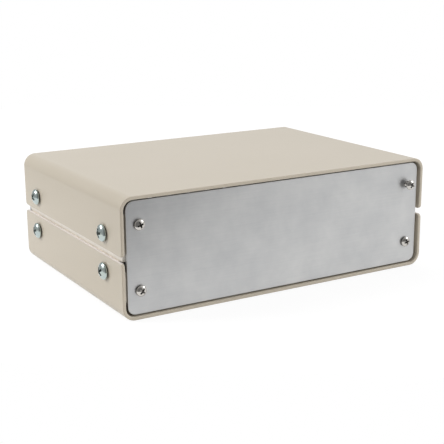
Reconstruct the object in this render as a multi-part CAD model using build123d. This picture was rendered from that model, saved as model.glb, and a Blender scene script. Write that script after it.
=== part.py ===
from build123d import *
import os
from math import floor

# Vented aluminium enclosure, in millimetres.
# X runs across the front, Y runs from front to back, Z is up.
# The origin is the middle of the underside.

# Outside of the closed case
case_width = 178.0
case_depth = 124.0
case_height = 59.0

# Painted sheet of the two U-shaped covers: the fold's inside radius, the rounded
# ends of the side walls, and the slot that stays open between the side walls
cover_sheet = 1.7
cover_bend = 4.7
cover_corner = 2.0
side_slot = 2.9

# Bare sheet of the front and rear panels. The front one is set back inside the covers
# with room at its sides, and the rear one fits closely, almost flush. Their corners
# are rounded a little less than the covers' folds.
panel_sheet = 1.6
front_recess = 1.2
rear_recess = 0.2
front_side_gap = 1.4
rear_side_gap = 0.3
panel_top_gap = 0.6
corner_less_than_fold = 0.5

# Side brackets that carry the covers and the panels, folded sharp. Each flange is two
# tabs, and the relief between them is cut a little past the fold.
bracket_sheet = 1.6
bracket_height = 42.0
bracket_flange = 15.0
bracket_corner = 3.0
tab_gap = 5.0
tab_gap_below_middle = 3.8
tab_relief = 3.0

# Screws through the covers into the bracket webs, placed from the case's front and
# rear and from the webs' top and bottom ends
cover_screw_thread = 4.1
cover_screw_length = 9.5
cover_screw_head = 8.5
cover_screw_head_height = 3.1
cover_screw_from_end = 19.0
cover_screw_from_web_end = 11.7

# Screws through the panels into the bracket flanges, placed from the case's sides and
# from the flanges' top and bottom ends. The front panel's upper right one stands out,
# because it is only partly screwed in.
panel_screw_thread = 2.8
panel_screw_length = 6.4
panel_screw_head = 5.4
panel_screw_head_height = 2.2
panel_screw_from_side = 9.8
panel_screw_from_flange_end = 5.2
unscrewed_length = 2.2

# Radial room round a screw in its tapped hole, and in the hole it passes through
tapped_gap = 0.05
clearance_gap = 0.2

# Punched vent slots of the floor and the rear panel
vent_width = 3.2
vent_length = 22.0
vent_pitch = 13.0
vent_margin = 14.0
floor_vent_from_middle = 30.0

# Places that follow from the sizes
middle_height = case_height / 2
wall_height = (case_height - side_slot) / 2
inner_half_width = case_width / 2 - cover_sheet
front_panel_y = -case_depth / 2 + front_recess
rear_panel_y = case_depth / 2 - rear_recess
bracket_length = rear_panel_y - front_panel_y - 2 * panel_sheet
bracket_middle = (rear_panel_y + front_panel_y) / 2
cover_screw_y = case_depth / 2 - cover_screw_from_end
cover_screw_from_middle = bracket_height / 2 - cover_screw_from_web_end
panel_screw_x = case_width / 2 - panel_screw_from_side
panel_screw_from_middle = bracket_height / 2 - panel_screw_from_flange_end


def folded_channel(base, wall, length, sheet, bend=0):
    """U folded from one sheet: base on z = 0, walls upwards, drawn out both ways along Y.

    The folds are sharp inside, or have the inside radius that bend gives.
    """
    outside = Pos(0, wall / 2) * Rectangle(base, wall)
    inside = Pos(0, wall / 2 + sheet) * Rectangle(base - 2 * sheet, wall)
    outside = fillet(outside.vertices().group_by(Axis.Y)[0], bend + sheet)
    if bend:
        inside = fillet(inside.vertices().group_by(Axis.Y)[0], bend)
    return extrude(Plane.XZ * (outside - inside), length / 2, both=True)


def vent_row():
    """Row of upright slots along X, as many as fit between the bracket flanges."""
    room = 2 * (inner_half_width - bracket_flange - vent_margin)
    slots = floor((room - vent_width) / vent_pitch) + 1
    slot = Rectangle(vent_width, vent_length)
    return Sketch() + [place * slot for place in GridLocations(vent_pitch, 0, slots, 1)]


def cover(floor_vents):
    """Cover with its flat on z = 0 and its side walls pointing up."""
    shell = folded_channel(case_width, wall_height, case_depth, cover_sheet, cover_bend)
    shell = fillet(shell.edges().filter_by(Axis.X).group_by(Axis.Z)[-1], cover_corner)
    hole = Cylinder(cover_screw_thread / 2 + clearance_gap, 2 * case_width, rotation=(0, 90, 0))
    for y in (-cover_screw_y, cover_screw_y):
        shell -= Pos(0, y, middle_height - cover_screw_from_middle) * hole
    if floor_vents:
        for y in (-floor_vent_from_middle, floor_vent_from_middle):
            shell -= extrude(Pos(0, y) * vent_row(), cover_sheet)
    return shell


def panel(side_gap, vents):
    """Panel that stands with its outer face on y = 0, facing -Y, at its height in the case."""
    width = 2 * (inner_half_width - side_gap)
    height = case_height - 2 * (cover_sheet + panel_top_gap)
    outline = RectangleRounded(width, height, cover_bend - corner_less_than_fold)
    plate = extrude(Plane.XZ * outline, -panel_sheet)
    hole = Cylinder(panel_screw_thread / 2 + clearance_gap, 4 * panel_sheet, rotation=(90, 0, 0))
    for x in (-panel_screw_x, panel_screw_x):
        for z in (-panel_screw_from_middle, panel_screw_from_middle):
            plate -= Pos(x, 0, z) * hole
    if vents:
        plate -= extrude(Plane.XZ * vent_row(), panel_sheet, both=True)
    return Pos(0, 0, middle_height) * plate


def bracket():
    """Left bracket: web against the covers' left walls, flanges turned in behind both panels."""
    part = folded_channel(bracket_length, bracket_flange, bracket_height, bracket_sheet)
    part = chamfer(part.edges().filter_by(Axis.X).group_by(Axis.Z)[-1], bracket_corner)
    relief = Box(2 * tab_relief, tab_gap, 4 * bracket_flange)
    flange_hole = Cylinder(panel_screw_thread / 2 + tapped_gap, 4 * bracket_sheet, rotation=(0, 90, 0))
    for x in (-bracket_length / 2, bracket_length / 2):
        part -= Pos(x, -tab_gap_below_middle) * relief
        for y in (-panel_screw_from_middle, panel_screw_from_middle):
            part -= Pos(x, y, panel_screw_from_side - cover_sheet) * flange_hole
    web_hole = Cylinder(cover_screw_thread / 2 + tapped_gap, 4 * bracket_sheet)
    for x in (-cover_screw_y, cover_screw_y):
        for y in (-cover_screw_from_middle, cover_screw_from_middle):
            part -= Pos(x - bracket_middle, y) * web_hole
    place = Plane((-inner_half_width, bracket_middle, middle_height), x_dir=(0, 1, 0), z_dir=(1, 0, 0))
    return place * part


def pan_head_screw(thread, length, head, head_height, turn):
    """Screw on the Z axis, head above z = 0 and shank below, its cross recess turned about the axis."""
    recess_width = 0.6 * head
    recess_depth = 0.6 * head_height
    wing = 0.15 * head
    body = Pos(0, 0, head_height / 2) * Cylinder(head / 2, head_height)
    body += Pos(0, 0, -length / 2) * Cylinder(thread / 2, length)
    cross = Box(recess_width, wing, recess_depth) + Box(wing, recess_width, recess_depth)
    return Rot(0, 0, turn) * (body - Pos(0, 0, head_height - recess_depth / 2) * cross)


def cover_screws():
    """Eight screws, each with its head on a cover's side wall."""
    screws = {}
    for side, x, facing in (("left", -1, -90), ("right", 1, 90)):
        for end, y in (("front", -cover_screw_y), ("rear", cover_screw_y)):
            for level, z in (("top", cover_screw_from_middle), ("bottom", -cover_screw_from_middle)):
                turn = 25 * len(screws)
                screw = pan_head_screw(cover_screw_thread, cover_screw_length, cover_screw_head,
                                       cover_screw_head_height, turn)
                place = Pos(x * case_width / 2, y, middle_height + z) * Rot(0, facing, 0)
                screws[f"cover_screw_{side}_{end}_{level}"] = place * screw
    return screws


def panel_screws():
    """Four screws for each panel, with their heads on its outer face."""
    screws = {}
    for end, outer_y, facing in (("front", front_panel_y, 90), ("rear", rear_panel_y, -90)):
        for side, x in (("left", -panel_screw_x), ("right", panel_screw_x)):
            for level, z in (("top", panel_screw_from_middle), ("bottom", -panel_screw_from_middle)):
                turn = 25 * len(screws)
                screw = pan_head_screw(panel_screw_thread, panel_screw_length, panel_screw_head,
                                       panel_screw_head_height, turn)
                stands_out = unscrewed_length if (end, side, level) == ("front", "right", "top") else 0
                place = Pos(x, outer_y, middle_height + z) * Rot(facing, 0, 0) * Pos(0, 0, stands_out)
                screws[f"{end}_panel_screw_{side}_{level}"] = place * screw
    return screws


bottom_cover = cover(floor_vents=True)
top_cover = Pos(0, 0, case_height) * Rot(180, 0, 0) * cover(floor_vents=False)
front_panel = Pos(0, front_panel_y, 0) * panel(front_side_gap, vents=False)
rear_panel = Pos(0, rear_panel_y, 0) * Rot(0, 0, 180) * panel(rear_side_gap, vents=True)
left_bracket = bracket()
right_bracket = mirror(left_bracket, about=Plane.YZ)

pieces = {
    "top_cover": top_cover,
    "bottom_cover": bottom_cover,
    "front_panel": front_panel,
    "rear_panel": rear_panel,
    "left_bracket": left_bracket,
    "right_bracket": right_bracket,
    **cover_screws(),
    **panel_screws(),
}

os.makedirs("parts", exist_ok=True)
for name, shape in pieces.items():
    export_step(shape, f"parts/{name}.step")
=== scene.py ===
from math import cos, pi, radians, sin

import bpy
from mathutils import Matrix, Vector
from mathutils.geometry import delaunay_2d_cdt


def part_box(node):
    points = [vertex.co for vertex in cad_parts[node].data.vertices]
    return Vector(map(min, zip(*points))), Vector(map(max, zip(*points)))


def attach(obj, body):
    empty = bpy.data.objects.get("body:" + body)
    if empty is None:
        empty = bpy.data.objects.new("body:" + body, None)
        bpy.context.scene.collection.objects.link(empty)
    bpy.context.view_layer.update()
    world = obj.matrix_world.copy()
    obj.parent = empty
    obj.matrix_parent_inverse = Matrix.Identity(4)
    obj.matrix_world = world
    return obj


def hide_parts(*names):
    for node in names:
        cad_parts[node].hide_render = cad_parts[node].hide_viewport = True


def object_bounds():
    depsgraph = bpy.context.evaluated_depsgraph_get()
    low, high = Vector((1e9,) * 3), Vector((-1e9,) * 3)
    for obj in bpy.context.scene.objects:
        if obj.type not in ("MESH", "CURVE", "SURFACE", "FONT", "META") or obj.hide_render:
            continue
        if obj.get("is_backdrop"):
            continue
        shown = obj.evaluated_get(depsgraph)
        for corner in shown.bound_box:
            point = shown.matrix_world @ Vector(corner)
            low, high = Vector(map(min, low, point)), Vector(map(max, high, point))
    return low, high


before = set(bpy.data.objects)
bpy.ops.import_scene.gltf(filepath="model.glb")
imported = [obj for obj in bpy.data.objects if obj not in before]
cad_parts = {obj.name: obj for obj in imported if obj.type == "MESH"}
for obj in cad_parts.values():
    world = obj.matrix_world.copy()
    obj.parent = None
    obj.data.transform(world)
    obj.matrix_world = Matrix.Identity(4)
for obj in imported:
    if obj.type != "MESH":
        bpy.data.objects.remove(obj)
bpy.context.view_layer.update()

# Side brackets. Each is a strip of bare aluminium sheet, folded at both ends into
# flanges. They are the case's skeleton: every screw is driven into them, and the slot
# between the two covers shows their webs from outside.
MM = 0.001


def linear(hex_colour):
    """sRGB hex to the linear colour that the shaders take."""
    parts = [int(hex_colour[i:i + 2], 16) / 255 for i in (1, 3, 5)]
    return tuple(c / 12.92 if c <= 0.04045 else ((c + 0.055) / 1.055) ** 2.4 for c in parts) + (1.0,)


def add_node(tree, kind, inputs=None, **settings):
    """Adds a node. inputs maps a socket to a value, a socket to link from, or a list of those."""
    node = tree.nodes.new(kind)
    for setting, value in settings.items():
        setattr(node, setting, value)
    for socket, value in (inputs or {}).items():
        for source in value if isinstance(value, list) else [value]:
            if isinstance(source, bpy.types.NodeSocket):
                tree.links.new(source, node.inputs[socket])
            else:
                node.inputs[socket].default_value = source
    return node


def new_material(name):
    """An empty material, its node tree, and the object coordinates of its piece."""
    material = bpy.data.materials.new(name)
    material.use_nodes = True
    material.node_tree.nodes.clear()
    where = add_node(material.node_tree, "ShaderNodeTexCoord")
    return material, material.node_tree, where.outputs["Object"]


# Aluminium as it leaves the rolling mill: bright and half dull, with fine lines along
# the roll and a faint cloudiness, left bare because the covers hide most of it.
roll_line = 0.35 * MM
roll_cloud = 9 * MM
roll_stretch = 50
mill_aluminium, tree, place = new_material("mill_finish_aluminium")
rolled = add_node(tree, "ShaderNodeMapping", {"Vector": place, "Scale": (1.0, 1 / roll_stretch, 1.0)})
lines = add_node(tree, "ShaderNodeTexNoise",
                 {"Vector": rolled.outputs[0], "Scale": 1 / roll_line, "Detail": 2.0})
clouds = add_node(tree, "ShaderNodeTexNoise", {"Vector": place, "Scale": 1 / roll_cloud, "Detail": 3.0})
tone = add_node(tree, "ShaderNodeMix", {
    "Factor": clouds.outputs["Fac"], "A": linear("#F2EDE4"), "B": linear("#E8E3DA")}, data_type="RGBA")
dullness = add_node(tree, "ShaderNodeMapRange",
                    {"Value": lines.outputs["Fac"], "To Min": 0.48, "To Max": 0.6})
dents = add_node(tree, "ShaderNodeBump",
                 {"Height": lines.outputs["Fac"], "Strength": 0.15, "Distance": 0.02 * MM})
metal = add_node(tree, "ShaderNodeBsdfPrincipled", {
    "Base Color": tone.outputs["Result"], "Metallic": 1.0, "Roughness": dullness.outputs[0],
    "Normal": dents.outputs[0]})
add_node(tree, "ShaderNodeOutputMaterial", {"Surface": metal.outputs[0]})

for side in ("left", "right"):
    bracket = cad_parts[side + "_bracket"]
    bracket.data.materials.clear()
    bracket.data.materials.append(mill_aluminium)

# Front and rear panels. Flat plates of brushed aluminium with rounded corners, blanked
# from 1.6 mm sheet and screwed to the brackets' flanges. The front one is set back
# inside the covers. The rear one is almost flush, and punched with vents.
case_low, case_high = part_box("bottom_cover")[0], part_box("top_cover")[1]
case_width = case_high.x - case_low.x
case_depth = case_high.y - case_low.y
case_height = case_high.z - case_low.z
mid_height = case_height / 2

panel_corner = 4.2 * MM
panel_corner_steps = 10
panel_edge = 0.25 * MM
panel_hole_radius = 1.6 * MM
vent_width, vent_length, vent_corner = 3.2 * MM, 22 * MM, 0.1 * MM
vent_pitch, vents_in_row = 13 * MM, 9


def arc(centre, radius, start, end, steps):
    """Points of an arc round centre, from one angle to another, in degrees."""
    angles = [radians(start + (end - start) * i / steps) for i in range(steps + 1)]
    return [(centre[0] + radius * cos(a), centre[1] + radius * sin(a)) for a in angles]


def rounded_outline(low, high, radius, steps):
    """Rectangle with rounded corners, anticlockwise."""
    corners = ((high[0] - radius, low[1] + radius, -90), (high[0] - radius, high[1] - radius, 0),
               (low[0] + radius, high[1] - radius, 90), (low[0] + radius, low[1] + radius, 180))
    return [p for x, y, start in corners for p in arc((x, y), radius, start, start + 90, steps)]


def sheet_blank(name, outline, fold_lines, put):
    """Mesh object of a cut blank with an edge on each fold line, its points moved to put(s, t).

    Its faces turn anticlockwise in the flat, so put(s, t) decides which side is outside.
    """
    points = [Vector(p) for p in outline]
    edges = []
    for a, b in fold_lines:
        edges.append((len(points), len(points) + 1))
        points += [Vector(a), Vector(b)]
    inside_only, same_point = 1, 1e-8
    verts, _, faces = delaunay_2d_cdt(points, edges, [range(len(outline))], inside_only, same_point)[:3]
    mesh = bpy.data.meshes.new(name)
    mesh.from_pydata([put(*v) for v in verts], [], faces)
    piece = bpy.data.objects.new(name, mesh)
    bpy.context.collection.objects.link(piece)
    return piece


def places(name, points, facings):
    """Loose points that say where holes or screws go, each with the way that it faces."""
    mesh = bpy.data.meshes.new(name)
    mesh.from_pydata(points, [], [])
    facing = mesh.attributes.new("facing", "FLOAT_VECTOR", "POINT")
    for entry, direction in zip(facing.data, facings):
        entry.vector = direction
    marks = bpy.data.objects.new(name, mesh)
    bpy.context.collection.objects.link(marks)
    return marks


def middle(node):
    """The middle of a CAD node."""
    low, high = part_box(node)
    return (low + high) / 2


def group_inputs(tree, sockets):
    """Gives a geometry tree its named inputs and its geometry output."""
    for name, kind in sockets:
        tree.interface.new_socket(name, in_out="INPUT", socket_type="NodeSocket" + kind)
    tree.interface.new_socket("Geometry", in_out="OUTPUT", socket_type="NodeSocketGeometry")
    return add_node(tree, "NodeGroupInput").outputs


def use_tree(piece, tree, values):
    """Puts a geometry tree on a piece, with its inputs set by their sockets' identifiers."""
    modifier = piece.modifiers.new(tree.name, "NODES")
    modifier.node_group = tree
    for item in tree.interface.items_tree:
        if item.in_out == "INPUT" and item.name in values:
            modifier[item.identifier] = values[item.name]


# Punching: a tool with rounded corners at each place, taken out of the sheet.
punching = bpy.data.node_groups.new("punched_holes", "GeometryNodeTree")
given = group_inputs(punching, (
    ("Geometry", "Geometry"), ("Places", "Object"), ("Width", "Float"), ("Length", "Float"),
    ("Corner", "Float"), ("Steps", "Int"), ("Depth", "Float"), ("Finish", "Material")))
marks = add_node(punching, "GeometryNodeObjectInfo", {"Object": given["Places"]})
tool_outline = add_node(punching, "GeometryNodeCurvePrimitiveQuadrilateral",
                        {"Width": given["Width"], "Height": given["Length"]})
tool_rounded = add_node(punching, "GeometryNodeFilletCurve", {
    "Curve": tool_outline.outputs[0], "Radius": given["Corner"], "Count": given["Steps"],
    "Limit Radius": True}, mode="POLY")
half_depth = add_node(punching, "ShaderNodeMath", {0: given["Depth"], 1: 0.5}, operation="MULTIPLY")
half_back = add_node(punching, "ShaderNodeMath", {0: given["Depth"], 1: -0.5}, operation="MULTIPLY")
tool_top = add_node(punching, "ShaderNodeCombineXYZ", {"Z": half_depth.outputs[0]})
tool_foot = add_node(punching, "ShaderNodeCombineXYZ", {"Z": half_back.outputs[0]})
tool_line = add_node(punching, "GeometryNodeCurvePrimitiveLine",
                     {"Start": tool_foot.outputs[0], "End": tool_top.outputs[0]})
tool = add_node(punching, "GeometryNodeCurveToMesh",
                {"Curve": tool_line.outputs[0], "Profile Curve": tool_rounded.outputs[0], "Fill Caps": True})
facing = add_node(punching, "GeometryNodeInputNamedAttribute", {"Name": "facing"}, data_type="FLOAT_VECTOR")
turned = add_node(punching, "FunctionNodeAlignRotationToVector", {"Vector": facing.outputs[0]},
                  axis="Z", pivot_axis="AUTO")
tools = add_node(punching, "GeometryNodeInstanceOnPoints", {
    "Points": marks.outputs["Geometry"], "Instance": tool.outputs[0], "Rotation": turned.outputs[0]})
tools_made = add_node(punching, "GeometryNodeRealizeInstances", {0: tools.outputs[0]})
punched = add_node(punching, "GeometryNodeMeshBoolean", {
    "Mesh 1": given["Geometry"], "Mesh 2": tools_made.outputs[0]}, operation="DIFFERENCE", solver="EXACT")
finished = add_node(punching, "GeometryNodeSetMaterial", {0: punched.outputs[0], "Material": given["Finish"]})
add_node(punching, "NodeGroupOutput", {0: finished.outputs[0]})


def round_punch(radius):
    """The punching tree's sizes for a round hole."""
    return {"Width": 2 * radius, "Length": 2 * radius, "Corner": radius, "Steps": 8}


vent_punch = {"Width": vent_width, "Length": vent_length, "Corner": vent_corner, "Steps": 1}


def make_plain(piece):
    """Turns a piece and its modifiers into a plain mesh."""
    made = bpy.data.meshes.new_from_object(piece.evaluated_get(bpy.context.evaluated_depsgraph_get()))
    made.name = piece.name
    piece.modifiers.clear()
    piece.data = made


def finish_sheet(piece, thickness, punchings, edge, material):
    """Thickens a blank inwards, punches it, rounds its edges and makes it a plain mesh.

    punchings holds pairs of the places of some holes and the punch for them.
    """
    solid = piece.modifiers.new("thickness", "SOLIDIFY")
    solid.thickness = thickness
    solid.offset = -1
    solid.use_even_offset = True
    for marks, punch in punchings:
        use_tree(piece, punching, {**punch, "Places": marks, "Depth": 3 * thickness, "Finish": material})
    rounding = piece.modifiers.new("rounded_edges", "BEVEL")
    rounding.width = edge
    rounding.segments = 3
    rounding.limit_method = "ANGLE"
    rounding.angle_limit = radians(50)
    rounding.use_clamp_overlap = False
    shading = piece.modifiers.new("flat_faces_flat", "WEIGHTED_NORMAL")
    shading.weight = 100
    piece.data.shade_smooth()
    make_plain(piece)
    for marks, _ in punchings:
        bpy.data.objects.remove(marks)


# Aluminium brushed along its length with a fine belt: grey satin with streaks a few
# centimetres long, cloudy where the belt bore harder, and a highlight that spreads
# across the streaks. The real streaks are about 0.05 mm wide, too fine for the render,
# so they are drawn 0.4 mm wide.
streak_pitch = 0.8 * MM
streak_length = 27 * MM
belt_cloud = 16 * MM
brushed_aluminium, tree, place = new_material("brushed_aluminium")
along = add_node(tree, "ShaderNodeMapping",
                 {"Vector": place, "Scale": (streak_pitch / streak_length, 1.0, 1.0)})
streaks = add_node(tree, "ShaderNodeTexNoise", {
    "Vector": along.outputs[0], "Scale": 1 / streak_pitch, "Detail": 4.0, "Roughness": 0.7})
clouds = add_node(tree, "ShaderNodeTexNoise", {
    "Vector": place, "Scale": 1 / belt_cloud, "Detail": 4.0, "Roughness": 0.6})
mixed = add_node(tree, "ShaderNodeMix",
                 {"Factor": 0.35, "A": clouds.outputs["Fac"], "B": streaks.outputs["Fac"]})
tone = add_node(tree, "ShaderNodeMapRange", {"Value": mixed.outputs[0], "From Min": 0.3, "From Max": 0.7})
colour = add_node(tree, "ShaderNodeMix", {
    "Factor": tone.outputs[0], "A": linear("#C0C1C2"), "B": linear("#D3D3D2")}, data_type="RGBA")
dullness = add_node(tree, "ShaderNodeMapRange",
                    {"Value": streaks.outputs["Fac"], "To Min": 0.36, "To Max": 0.5})
scratches = add_node(tree, "ShaderNodeBump",
                     {"Height": streaks.outputs["Fac"], "Strength": 0.2, "Distance": 0.02 * MM})
metal = add_node(tree, "ShaderNodeBsdfPrincipled", {
    "Base Color": colour.outputs["Result"], "Metallic": 1.0, "Roughness": dullness.outputs[0],
    "Normal": scratches.outputs[0], "Anisotropic": 0.4, "Anisotropic Rotation": 0.25})
add_node(tree, "ShaderNodeOutputMaterial", {"Surface": metal.outputs[0]})

panel_screw = middle("front_panel_screw_right_top")
panel_holes = [(x, z) for x in (-panel_screw.x, panel_screw.x)
               for z in (case_height - panel_screw.z, panel_screw.z)]
vent_row = [(i - (vents_in_row - 1) / 2) * vent_pitch for i in range(vents_in_row)]

for end, way in (("front", -1), ("rear", 1)):
    low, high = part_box(end + "_panel")
    outer = low.y if way < 0 else high.y
    outline = rounded_outline((low.x, low.z), (high.x, high.z), panel_corner, panel_corner_steps)
    panel = sheet_blank(end + "_panel_plate", outline, [], lambda s, t: (-way * s, outer, t))
    hole_places = places(end + "_panel_holes", [(x, outer, z) for x, z in panel_holes],
                         [(0, way, 0)] * len(panel_holes))
    cuts = [(hole_places, round_punch(panel_hole_radius))]
    if end == "rear":
        vent_places = places("rear_vent_places", [(x, outer, mid_height) for x in vent_row],
                             [(0, way, 0)] * vents_in_row)
        cuts.append((vent_places, vent_punch))
    finish_sheet(panel, high.y - low.y, cuts, panel_edge, brushed_aluminium)
    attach(panel, "root")
    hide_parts(end + "_panel")

# Covers. Two like U-shaped covers of 1.7 mm aluminium sheet, punched, folded over a
# rounded tool and sprayed beige, so that the paint rounds every cut edge. Their side
# walls stop short of each other and leave the vent slot.
cover_sheet = 1.7 * MM
fold_radius = 6.4 * MM
fold_steps = 14
wall_corner = 2.0 * MM
wall_corner_steps = 8
paint_edge = 0.45 * MM
cover_hole_radius = 2.25 * MM
floor_vent_y = 30 * MM

wall_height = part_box("bottom_cover")[1].z - case_low.z
flat_half = case_width / 2 - fold_radius
fold_length = fold_radius * pi / 2
blank_half_width = flat_half + fold_length + wall_height - fold_radius
blank_half_depth = case_depth / 2
cover_screw = middle("cover_screw_left_rear_top")


def folded(s, t, upside_down):
    """Where a point of the flat blank lies on the outside of the folded cover."""
    side = -1 if s < 0 else 1
    turn = min(max(abs(s) - flat_half, 0) / fold_radius, pi / 2)
    x = side * (min(abs(s), flat_half) + fold_radius * sin(turn))
    rise = fold_radius * (1 - cos(turn)) + max(abs(s) - flat_half - fold_length, 0)
    return (x, t, case_height - rise) if upside_down else (x, -t, rise)


# Beige enamel sprayed on aluminium: an even warm beige, half glossy, with the slight
# orange peel of spray paint and a hardly visible change of tone from pass to pass. The
# edges along the slot are painted paler: painted light where the slot shades them.
orange_peel = 1.1 * MM
spray_pass = 60 * MM
half_slot = mid_height - wall_height
painted_light_end = half_slot + 0.7 * paint_edge
beige_enamel, tree, place = new_material("sprayed_beige_enamel")
peel = add_node(tree, "ShaderNodeTexNoise", {"Vector": place, "Scale": 1 / orange_peel, "Detail": 2.0})
passes = add_node(tree, "ShaderNodeTexNoise", {"Vector": place, "Scale": 1 / spray_pass, "Detail": 2.0})
beige = add_node(tree, "ShaderNodeMix", {
    "Factor": passes.outputs["Fac"], "A": linear("#C9BFAD"), "B": linear("#CEC4B3")}, data_type="RGBA")
height = add_node(tree, "ShaderNodeSeparateXYZ", {0: place}).outputs["Z"]
above_slot = add_node(tree, "ShaderNodeMath", {0: height, 1: mid_height}, operation="SUBTRACT")
from_slot = add_node(tree, "ShaderNodeMath", {0: above_slot.outputs[0]}, operation="ABSOLUTE")
# Painted light: close to the slot, the beige turns paler.
painted_shading = add_node(tree, "ShaderNodeMapRange", {
    "Value": from_slot.outputs[0], "From Min": half_slot, "From Max": painted_light_end,
    "To Min": 1.0, "To Max": 0.0})
colour = add_node(tree, "ShaderNodeMix", {
    "Factor": painted_shading.outputs[0], "A": beige.outputs["Result"], "B": linear("#ECE5E1")}, data_type="RGBA")
gloss = add_node(tree, "ShaderNodeMapRange", {"Value": peel.outputs["Fac"], "To Min": 0.32, "To Max": 0.4})
skin = add_node(tree, "ShaderNodeBump",
                {"Height": peel.outputs["Fac"], "Strength": 0.12, "Distance": 0.03 * MM})
paint = add_node(tree, "ShaderNodeBsdfPrincipled", {
    "Base Color": colour.outputs["Result"], "Roughness": gloss.outputs[0], "Normal": skin.outputs[0]})
add_node(tree, "ShaderNodeOutputMaterial", {"Surface": paint.outputs[0]})

folds = [side * (flat_half + fold_length * i / fold_steps) for side in (-1, 1) for i in range(fold_steps + 1)]
fold_lines = [((s, -blank_half_depth), (s, blank_half_depth)) for s in folds]
blank_outline = rounded_outline((-blank_half_width, -blank_half_depth), (blank_half_width, blank_half_depth),
                                wall_corner, wall_corner_steps)
for name, upside_down in (("bottom_cover", False), ("top_cover", True)):
    cover = sheet_blank(name + "_sheet", blank_outline, fold_lines, lambda s, t: folded(s, t, upside_down))
    screw_height = cover_screw.z if upside_down else case_height - cover_screw.z
    hole_points = [(x, y, screw_height) for x in (case_low.x, case_high.x)
                   for y in (-cover_screw.y, cover_screw.y)]
    hole_places = places(name + "_holes", hole_points, [(-1, 0, 0)] * 2 + [(1, 0, 0)] * 2)
    cuts = [(hole_places, round_punch(cover_hole_radius))]
    if not upside_down:
        vent_points = [(x, y, case_low.z) for x in vent_row for y in (-floor_vent_y, floor_vent_y)]
        vent_places = places("floor_vent_places", vent_points, [(0, 0, 1)] * len(vent_points))
        cuts.append((vent_places, vent_punch))
    finish_sheet(cover, cover_sheet, cuts, paint_edge, beige_enamel)
    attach(cover, "root")
    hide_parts(name)

# Screws. Cross-recess pan-head machine screws, cold headed and thread rolled: eight
# zinc-plated ones hold the covers to the brackets, and eight smaller nickel-plated ones
# hold the panels. One panel screw stands out a little.
screws = bpy.data.node_groups.new("pan_head_screws", "GeometryNodeTree")
given = group_inputs(screws, (
    ("Geometry", "Geometry"), ("Head Diameter", "Float"), ("Head Height", "Float"),
    ("Thread Diameter", "Float"), ("Thread Length", "Float"), ("Thread Pitch", "Float"),
    ("Recess Span", "Float"), ("Recess Depth", "Float"), ("Wing", "Float"), ("Finish", "Material")))

# The head is cold headed: it swells from a narrower foot, its flank is nearly straight,
# and it closes under a low dome. It is made one unit wide and high, and then scaled.
foot_share = 0.3
foot_inset = 0.2
dome_power = 0.65
crown_end = 0.97 * pi / 2
head_line = add_node(screws, "GeometryNodeCurvePrimitiveLine", {"Start": (0, 0, 0), "End": (0, 0, 1)})
head_rings = add_node(screws, "GeometryNodeResampleCurve", {"Curve": head_line.outputs[0], "Count": 26})
up_head = add_node(screws, "GeometryNodeSplineParameter").outputs["Factor"]
up_dome = add_node(screws, "ShaderNodeMapRange",
                   {"Value": up_head, "From Min": foot_share, "To Max": crown_end}).outputs[0]
up_foot = add_node(screws, "ShaderNodeMapRange", {
    "Value": up_head, "From Max": foot_share, "To Min": -pi / 2, "To Max": 0.0}).outputs[0]
dome_sine = add_node(screws, "ShaderNodeMath", {0: up_dome}, operation="SINE")
dome_cosine = add_node(screws, "ShaderNodeMath", {0: up_dome}, operation="COSINE")
foot_sine = add_node(screws, "ShaderNodeMath", {0: up_foot}, operation="SINE")
foot_cosine = add_node(screws, "ShaderNodeMath", {0: up_foot}, operation="COSINE")
dome_rise = add_node(screws, "ShaderNodeMath", {0: dome_sine.outputs[0], 1: dome_power}, operation="POWER")
dome_width = add_node(screws, "ShaderNodeMath", {0: dome_cosine.outputs[0], 1: dome_power}, operation="POWER")
foot_rise = add_node(screws, "ShaderNodeMath",
                     {0: foot_sine.outputs[0], 1: foot_share, 2: foot_share}, operation="MULTIPLY_ADD")
foot_width = add_node(screws, "ShaderNodeMath",
                      {0: foot_cosine.outputs[0], 1: foot_inset, 2: 1 - foot_inset}, operation="MULTIPLY_ADD")
ring_height = add_node(screws, "ShaderNodeMath", {
    0: dome_rise.outputs[0], 1: 1 - foot_share, 2: foot_rise.outputs[0]}, operation="MULTIPLY_ADD")
ring_width = add_node(screws, "ShaderNodeMath",
                      {0: dome_width.outputs[0], 1: foot_width.outputs[0]}, operation="MULTIPLY")
ring_place = add_node(screws, "ShaderNodeCombineXYZ", {"Z": ring_height.outputs[0]})
head_spine = add_node(screws, "GeometryNodeSetPosition",
                      {0: head_rings.outputs[0], "Position": ring_place.outputs[0]})
ring = add_node(screws, "GeometryNodeCurvePrimitiveCircle", {"Resolution": 48, "Radius": 0.5})
head = add_node(screws, "GeometryNodeCurveToMesh", {
    "Curve": head_spine.outputs[0], "Profile Curve": ring.outputs[0], "Scale": ring_width.outputs[0],
    "Fill Caps": True})

# Painted shade: the faces under the head, in the recess and on the thread are made
# darker and duller, standing in for the shade there. A face attribute says how much.
painted_shade_in_recess = 0.55
painted_shade_on_thread = 0.15
at = add_node(screws, "GeometryNodeInputPosition")
up = add_node(screws, "ShaderNodeSeparateXYZ", {0: at.outputs[0]}).outputs["Z"]
painted_shade_at_foot = add_node(screws, "ShaderNodeMapRange", {
    "Value": up, "From Min": 0.1, "From Max": foot_share, "To Min": 1.0, "To Max": 0.0})
head_with_painted_shade = add_node(screws, "GeometryNodeStoreNamedAttribute", {
    "Geometry": head.outputs[0], "Name": "dull", "Value": painted_shade_at_foot.outputs[0]},
    data_type="FLOAT", domain="FACE")
head_size = add_node(screws, "ShaderNodeCombineXYZ", {
    "X": given["Head Diameter"], "Y": given["Head Diameter"], "Z": given["Head Height"]})
head_scaled = add_node(screws, "GeometryNodeTransform",
                       {0: head_with_painted_shade.outputs[0], "Scale": head_size.outputs[0]})

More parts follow.
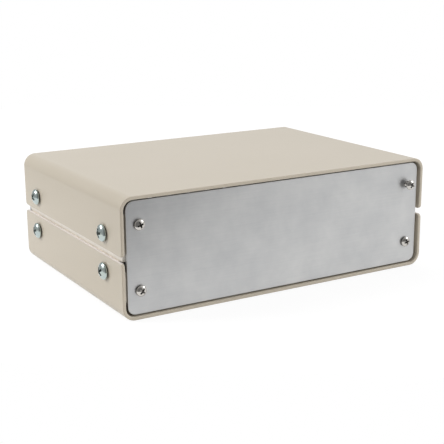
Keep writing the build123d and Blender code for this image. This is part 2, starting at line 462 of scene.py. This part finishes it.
# The recess is pressed in: two crossed wedges, narrower at the bottom, that reach a
# tenth of their depth past the crown.
wedge_height = 1.1
wedge = add_node(screws, "GeometryNodeMeshCube", {"Size": (1, 1, 1)})
span_here = add_node(screws, "ShaderNodeMapRange", {
    "Value": up, "From Min": -0.5, "From Max": 0.5, "To Min": 0.35, "To Max": 1.05})
wing_here = add_node(screws, "ShaderNodeMapRange", {
    "Value": up, "From Min": -0.5, "From Max": 0.5, "To Min": 0.7, "To Max": 1.1})
taper = add_node(screws, "ShaderNodeCombineXYZ",
                 {"X": span_here.outputs[0], "Y": wing_here.outputs[0], "Z": wedge_height})
tapered = add_node(screws, "ShaderNodeVectorMath", {
    0: at.outputs[0], 1: taper.outputs[0], 2: (0, 0, wedge_height / 2)}, operation="MULTIPLY_ADD")
wedge_cut = add_node(screws, "GeometryNodeSetPosition", {0: wedge.outputs[0], "Position": tapered.outputs[0]})
# The wedges carry the recess's painted shade onto the faces that they cut.
wedge_with_painted_shade = add_node(screws, "GeometryNodeStoreNamedAttribute", {
    "Geometry": wedge_cut.outputs[0], "Name": "dull", "Value": painted_shade_in_recess},
    data_type="FLOAT", domain="FACE")
wedge_size = add_node(screws, "ShaderNodeCombineXYZ", {
    "X": given["Recess Span"], "Y": given["Wing"], "Z": given["Recess Depth"]})
recess_foot = add_node(screws, "ShaderNodeMath",
                       {0: given["Head Height"], 1: given["Recess Depth"]}, operation="SUBTRACT")
wedge_foot = add_node(screws, "ShaderNodeCombineXYZ", {"Z": recess_foot.outputs[0]})
wedge_placed = add_node(screws, "GeometryNodeTransform", {
    0: wedge_with_painted_shade.outputs[0], "Translation": wedge_foot.outputs[0], "Scale": wedge_size.outputs[0]})
crossed = add_node(screws, "GeometryNodeTransform", {0: wedge_placed.outputs[0], "Rotation": (0, 0, pi / 2)})
headed = add_node(screws, "GeometryNodeMeshBoolean", {
    "Mesh 1": head_scaled.outputs[0], "Mesh 2": [wedge_placed.outputs[0], crossed.outputs[0]]},
    operation="DIFFERENCE", solver="EXACT")

# The thread is rolled on the shank: a ridge that winds round the core.
core_diameter = add_node(screws, "ShaderNodeMath",
                         {0: given["Thread Diameter"], 1: given["Thread Pitch"]}, operation="SUBTRACT")
core_radius = add_node(screws, "ShaderNodeMath", {0: core_diameter.outputs[0], 1: 0.5}, operation="MULTIPLY")
core = add_node(screws, "GeometryNodeMeshCylinder", {
    "Vertices": 24, "Radius": core_radius.outputs[0], "Depth": given["Thread Length"]})
wound_length = add_node(screws, "ShaderNodeMath",
                        {0: given["Thread Length"], 1: given["Thread Pitch"]}, operation="SUBTRACT")
turns_wound = add_node(screws, "ShaderNodeMath",
                       {0: wound_length.outputs[0], 1: given["Thread Pitch"]}, operation="DIVIDE")
winding = add_node(screws, "GeometryNodeCurveSpiral", {
    "Resolution": 20, "Rotations": turns_wound.outputs[0], "Start Radius": core_radius.outputs[0],
    "End Radius": core_radius.outputs[0], "Height": wound_length.outputs[0]})
upright = add_node(screws, "GeometryNodeSetCurveNormal", {"Curve": winding.outputs[0]}, mode="Z_UP")
ridge_radius = add_node(screws, "ShaderNodeMath", {0: given["Thread Pitch"], 1: 0.48}, operation="MULTIPLY")
ridge = add_node(screws, "GeometryNodeCurvePrimitiveCircle",
                 {"Resolution": 4, "Radius": ridge_radius.outputs[0]})
thread = add_node(screws, "GeometryNodeCurveToMesh",
                  {"Curve": upright.outputs[0], "Profile Curve": ridge.outputs[0], "Fill Caps": True})
half_wound = add_node(screws, "ShaderNodeMath", {0: wound_length.outputs[0], 1: -0.5}, operation="MULTIPLY")
thread_down = add_node(screws, "ShaderNodeCombineXYZ", {"Z": half_wound.outputs[0]})
thread_placed = add_node(screws, "GeometryNodeTransform",
                         {0: thread.outputs[0], "Translation": thread_down.outputs[0]})
shank = add_node(screws, "GeometryNodeJoinGeometry", {0: [core.outputs[0], thread_placed.outputs[0]]})
# The shank gets a little painted shade as well.
shank_with_painted_shade = add_node(screws, "GeometryNodeStoreNamedAttribute", {
    "Geometry": shank.outputs[0], "Name": "dull", "Value": painted_shade_on_thread},
    data_type="FLOAT", domain="FACE")
half_thread = add_node(screws, "ShaderNodeMath", {0: given["Thread Length"], 1: -0.5}, operation="MULTIPLY")
shank_down = add_node(screws, "ShaderNodeCombineXYZ", {"Z": half_thread.outputs[0]})
shank_placed = add_node(screws, "GeometryNodeTransform",
                        {0: shank_with_painted_shade.outputs[0], "Translation": shank_down.outputs[0]})

# The whole screw stands at each place, faces as the place says, and is turned about its
# own axis.
whole = add_node(screws, "GeometryNodeJoinGeometry", {0: [headed.outputs[0], shank_placed.outputs[0]]})
facing = add_node(screws, "GeometryNodeInputNamedAttribute", {"Name": "facing"}, data_type="FLOAT_VECTOR")
turn = add_node(screws, "GeometryNodeInputNamedAttribute", {"Name": "turn"}, data_type="FLOAT")
spun = add_node(screws, "FunctionNodeAxisAngleToRotation", {"Axis": (0, 0, 1), "Angle": turn.outputs[0]})
turned = add_node(screws, "FunctionNodeAlignRotationToVector", {"Vector": facing.outputs[0]},
                  axis="Z", pivot_axis="AUTO")
both = add_node(screws, "FunctionNodeRotateRotation",
                {"Rotation": turned.outputs[0], "Rotate By": spun.outputs[0]}, rotation_space="LOCAL")
set_screws = add_node(screws, "GeometryNodeInstanceOnPoints", {
    "Points": given["Geometry"], "Instance": whole.outputs[0], "Rotation": both.outputs[0]})
made = add_node(screws, "GeometryNodeRealizeInstances", {0: set_screws.outputs[0]})
finished = add_node(screws, "GeometryNodeSetMaterial", {0: made.outputs[0], "Material": given["Finish"]})
add_node(screws, "NodeGroupOutput", {0: finished.outputs[0]})


def drive_screws(name, facings, turns, sizes, material):
    """Screws where the frame has them, each turned about its axis as its driver left it.

    facings maps each CAD node to the way that its head faces, and turns are in degrees.
    """
    seats = []
    for node, facing in facings.items():
        low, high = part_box(node)
        reach = (high - low).dot(Vector(map(abs, facing))) / 2
        seats.append(middle(node) + Vector(facing) * (reach - sizes["Head Height"]))
    piece = places(name, seats, facings.values())
    turn = piece.data.attributes.new("turn", "FLOAT", "POINT")
    for entry, value in zip(turn.data, turns):
        entry.value = radians(value)
    use_tree(piece, screws, {**sizes, "Finish": material})
    make_plain(piece)
    piece.data.shade_smooth()
    piece.data.set_sharp_from_angle(angle=radians(35))
    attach(piece, "root")
    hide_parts(*facings)


def plating(name, cloud, shades, painted_shade_colour, gloss_range, roughness_in_painted_shade):
    """Plated steel: clouds of two shades, made darker and duller by painted shade where a face attribute
    says.
    """
    material, tree, place = new_material(name)
    clouds = add_node(tree, "ShaderNodeTexNoise", {"Vector": place, "Scale": 1 / cloud, "Detail": 3.0})
    bright = add_node(tree, "ShaderNodeMix", {
        "Factor": clouds.outputs["Fac"], "A": linear(shades[0]), "B": linear(shades[1])}, data_type="RGBA")
    painted_shading = add_node(tree, "ShaderNodeAttribute", attribute_name="dull").outputs["Fac"]
    colour = add_node(tree, "ShaderNodeMix", {
        "Factor": painted_shading, "A": bright.outputs["Result"], "B": linear(painted_shade_colour)}, data_type="RGBA")
    gloss = add_node(tree, "ShaderNodeMapRange", {
        "Value": clouds.outputs["Fac"], "To Min": gloss_range[0], "To Max": gloss_range[1]})
    roughness = add_node(tree, "ShaderNodeMapRange",
                         {"Value": painted_shading, "To Min": gloss.outputs[0], "To Max": roughness_in_painted_shade})
    metal = add_node(tree, "ShaderNodeBsdfPrincipled", {
        "Base Color": colour.outputs["Result"], "Metallic": 1.0, "Roughness": roughness.outputs[0]})
    add_node(tree, "ShaderNodeOutputMaterial", {"Surface": metal.outputs[0]})
    return material, tree, clouds, metal


# Clear zinc plate: bright silver with a bluish green cast, a little cloudy and uneven; dark grey where it
# carries painted shade.
zinc_plate, tree, clouds, metal = plating(
    "clear_zinc_plate", 2.5 * MM, ("#B4C2C8", "#C4CDC2"), "#4E5450", (0.16, 0.3), 0.5)
grain = add_node(tree, "ShaderNodeBump",
                 {"Height": clouds.outputs["Fac"], "Strength": 0.2, "Distance": 0.05 * MM})
tree.links.new(grain.outputs[0], metal.inputs["Normal"])

# Bright nickel plate: nearly a mirror, with a warm grey cast; dark where it carries painted shade.
nickel_plate = plating(
    "bright_nickel_plate", 1.5 * MM, ("#C4C0BA", "#D2CFCA"), "#4A4744", (0.08, 0.16), 0.45)[0]

cover_screws = {f"cover_screw_{side}_{end}_{level}": (-1 if side == "left" else 1, 0, 0)
                for side in ("left", "right") for end in ("front", "rear") for level in ("top", "bottom")}
drive_screws("cover_screws", cover_screws, (10, 35, 60, 20, 75, 5, 40, 55),
             {"Head Diameter": 8.5 * MM, "Head Height": 3.1 * MM, "Thread Diameter": 4.1 * MM,
              "Thread Length": 9.5 * MM, "Thread Pitch": 0.79 * MM, "Recess Span": 5.2 * MM,
              "Recess Depth": 2.4 * MM, "Wing": 1.15 * MM}, zinc_plate)

panel_screws = {f"{end}_panel_screw_{side}_{level}": (0, -1 if end == "front" else 1, 0)
                for end in ("front", "rear") for side in ("left", "right") for level in ("top", "bottom")}
drive_screws("panel_screws", panel_screws, (20, 50, 65, 15, 30, 5, 70, 45),
             {"Head Diameter": 5.4 * MM, "Head Height": 2.2 * MM, "Thread Diameter": 2.8 * MM,
              "Thread Length": 6.4 * MM, "Thread Pitch": 0.6 * MM, "Recess Span": 3.7 * MM,
              "Recess Depth": 1.7 * MM, "Wing": 0.85 * MM}, nickel_plate)

# Studio. The case stands slantwise near the front edge of a white table in a pale room.
# A key soft box is behind it at its left, and a weaker one in front at its right. A fill
# light in front brightens the paint, and is hidden from reflections for the metal's sake.
table_turn = radians(-36)
table_left, table_right, table_front, table_back = -0.30, 0.6, -0.153, 0.6
table_mesh = bpy.data.meshes.new("table_top")
table_mesh.from_pydata([(table_left, table_front, 0), (table_right, table_front, 0),
                        (table_right, table_back, 0), (table_left, table_back, 0)], [], [(0, 1, 2, 3)])
table_mesh.transform(Matrix.Rotation(table_turn, 4, "Z"))
table = bpy.data.objects.new("table_top", table_mesh)
bpy.context.collection.objects.link(table)
table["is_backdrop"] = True

# White laminate: pale where it lights the case and under it, and burnt out to white
# where it is seen beside the case. under_case is the share of the floor's half sizes
# that counts as under it.
under_case = 0.98
laminate, tree, place = new_material("white_laminate")
ray = add_node(tree, "ShaderNodeLightPath").outputs
direct = add_node(tree, "ShaderNodeMath",
                  {0: ray["Is Camera Ray"], 1: ray["Is Glossy Ray"]}, operation="MAXIMUM")
seen = add_node(tree, "ShaderNodeMath",
                {0: direct.outputs[0], 1: ray["Is Transmission Ray"]}, operation="MAXIMUM")
from_middle = add_node(tree, "ShaderNodeMapping",
                       {"Vector": place, "Scale": (1 / flat_half, 2 / case_depth, 0.0)})
outwards = add_node(tree, "ShaderNodeVectorMath", {0: from_middle.outputs[0]}, operation="ABSOLUTE")
apart = add_node(tree, "ShaderNodeSeparateXYZ", {0: outwards.outputs[0]}).outputs
furthest = add_node(tree, "ShaderNodeMath", {0: apart["X"], 1: apart["Y"]}, operation="MAXIMUM")
beside_case = add_node(tree, "ShaderNodeMath",
                       {0: furthest.outputs[0], 1: under_case}, operation="GREATER_THAN")
seen_beside = add_node(tree, "ShaderNodeMath",
                       {0: seen.outputs[0], 1: beside_case.outputs[0]}, operation="MULTIPLY")
lit = add_node(tree, "ShaderNodeBsdfDiffuse", {"Color": linear("#E6E6E6")})
shaded = add_node(tree, "ShaderNodeBsdfDiffuse", {"Color": linear("#7D7D7D")})
glow = add_node(tree, "ShaderNodeEmission", {"Strength": 0.86})
burnt = add_node(tree, "ShaderNodeAddShader", {0: shaded.outputs[0], 1: glow.outputs[0]})
either = add_node(tree, "ShaderNodeMixShader",
                  {0: seen_beside.outputs[0], 1: lit.outputs[0], 2: burnt.outputs[0]})
add_node(tree, "ShaderNodeOutputMaterial", {"Surface": either.outputs[0]})
table.data.materials.append(laminate)

# The room is grey, with a white backdrop behind and at the right, and darkest on the
# camera's side. The camera itself sees only white.
backdrop_way = Vector((0.95, 0.3, 0.05)).normalized()
dark_way = Vector((-0.33, -0.94, 0.0)).normalized()
world = bpy.data.worlds.new("studio")
bpy.context.scene.world = world
world.use_nodes = True
tree = world.node_tree
tree.nodes.clear()
way = add_node(tree, "ShaderNodeTexCoord").outputs["Generated"]
to_backdrop = add_node(tree, "ShaderNodeVectorMath", {0: way, 1: backdrop_way}, operation="DOT_PRODUCT")
paleness = add_node(tree, "ShaderNodeMapRange", {
    "Value": to_backdrop.outputs["Value"], "From Min": 0.05, "From Max": 0.4, "To Min": 0.45, "To Max": 0.9},
    interpolation_type="SMOOTHSTEP")
to_dark = add_node(tree, "ShaderNodeVectorMath", {0: way, 1: dark_way}, operation="DOT_PRODUCT")
shade = add_node(tree, "ShaderNodeMapRange", {
    "Value": to_dark.outputs["Value"], "From Min": 0.5, "From Max": 0.8, "To Min": 1.0, "To Max": 0.45},
    interpolation_type="SMOOTHSTEP")
brightness = add_node(tree, "ShaderNodeMath",
                      {0: paleness.outputs[0], 1: shade.outputs[0]}, operation="MULTIPLY")
room = add_node(tree, "ShaderNodeBackground", {"Color": (1, 1, 1, 1), "Strength": brightness.outputs[0]})
white = add_node(tree, "ShaderNodeBackground", {"Color": (1, 1, 1, 1), "Strength": 1.0})
camera_ray = add_node(tree, "ShaderNodeLightPath").outputs["Is Camera Ray"]
either = add_node(tree, "ShaderNodeMixShader", {0: camera_ray, 1: room.outputs[0], 2: white.outputs[0]})
add_node(tree, "ShaderNodeOutputWorld", {"Surface": either.outputs[0]})

lamp_distance = 1.2


def soft_box(name, size, power, direction):
    """A square soft box in that direction from the case, facing it."""
    lamp = bpy.data.lights.new(name, "AREA")
    lamp.size = size
    lamp.energy = power
    box = bpy.data.objects.new(name, lamp)
    bpy.context.collection.objects.link(box)
    way = Vector(direction).normalized()
    box.matrix_world = (Matrix.Translation(way * lamp_distance + Vector((0, 0, mid_height)))
                        @ way.to_track_quat("Z", "Y").to_matrix().to_4x4())
    return box


soft_box("key_soft_box", 0.5, 7.6, (-0.72, 0.4, 0.56))
soft_box("right_soft_box", 0.45, 2.5, (0.79, -0.38, 0.48))
front_fill = soft_box("front_fill", 0.6, 3.3, (-0.12, -1.0, 0.1))
front_fill.visible_glossy = False

# Camera. It looks at the front left corner from a little above, as in the photograph.
camera_place = (-0.2704, -0.4581, 0.1612)
heading, pitch, roll = radians(30.61), radians(14.67), radians(-0.37)
lens = bpy.data.cameras.new("camera")
lens.lens = 81.08
lens.sensor_width = 36
camera = bpy.data.objects.new("camera", lens)
bpy.context.collection.objects.link(camera)
bpy.context.scene.camera = camera
camera.matrix_world = (Matrix.Translation(camera_place) @ Matrix.Rotation(-heading, 4, "Z")
                       @ Matrix.Rotation(pi / 2 - pitch, 4, "X") @ Matrix.Rotation(roll, 4, "Z"))
bpy.context.scene.view_settings.view_transform = "Standard"

low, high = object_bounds()
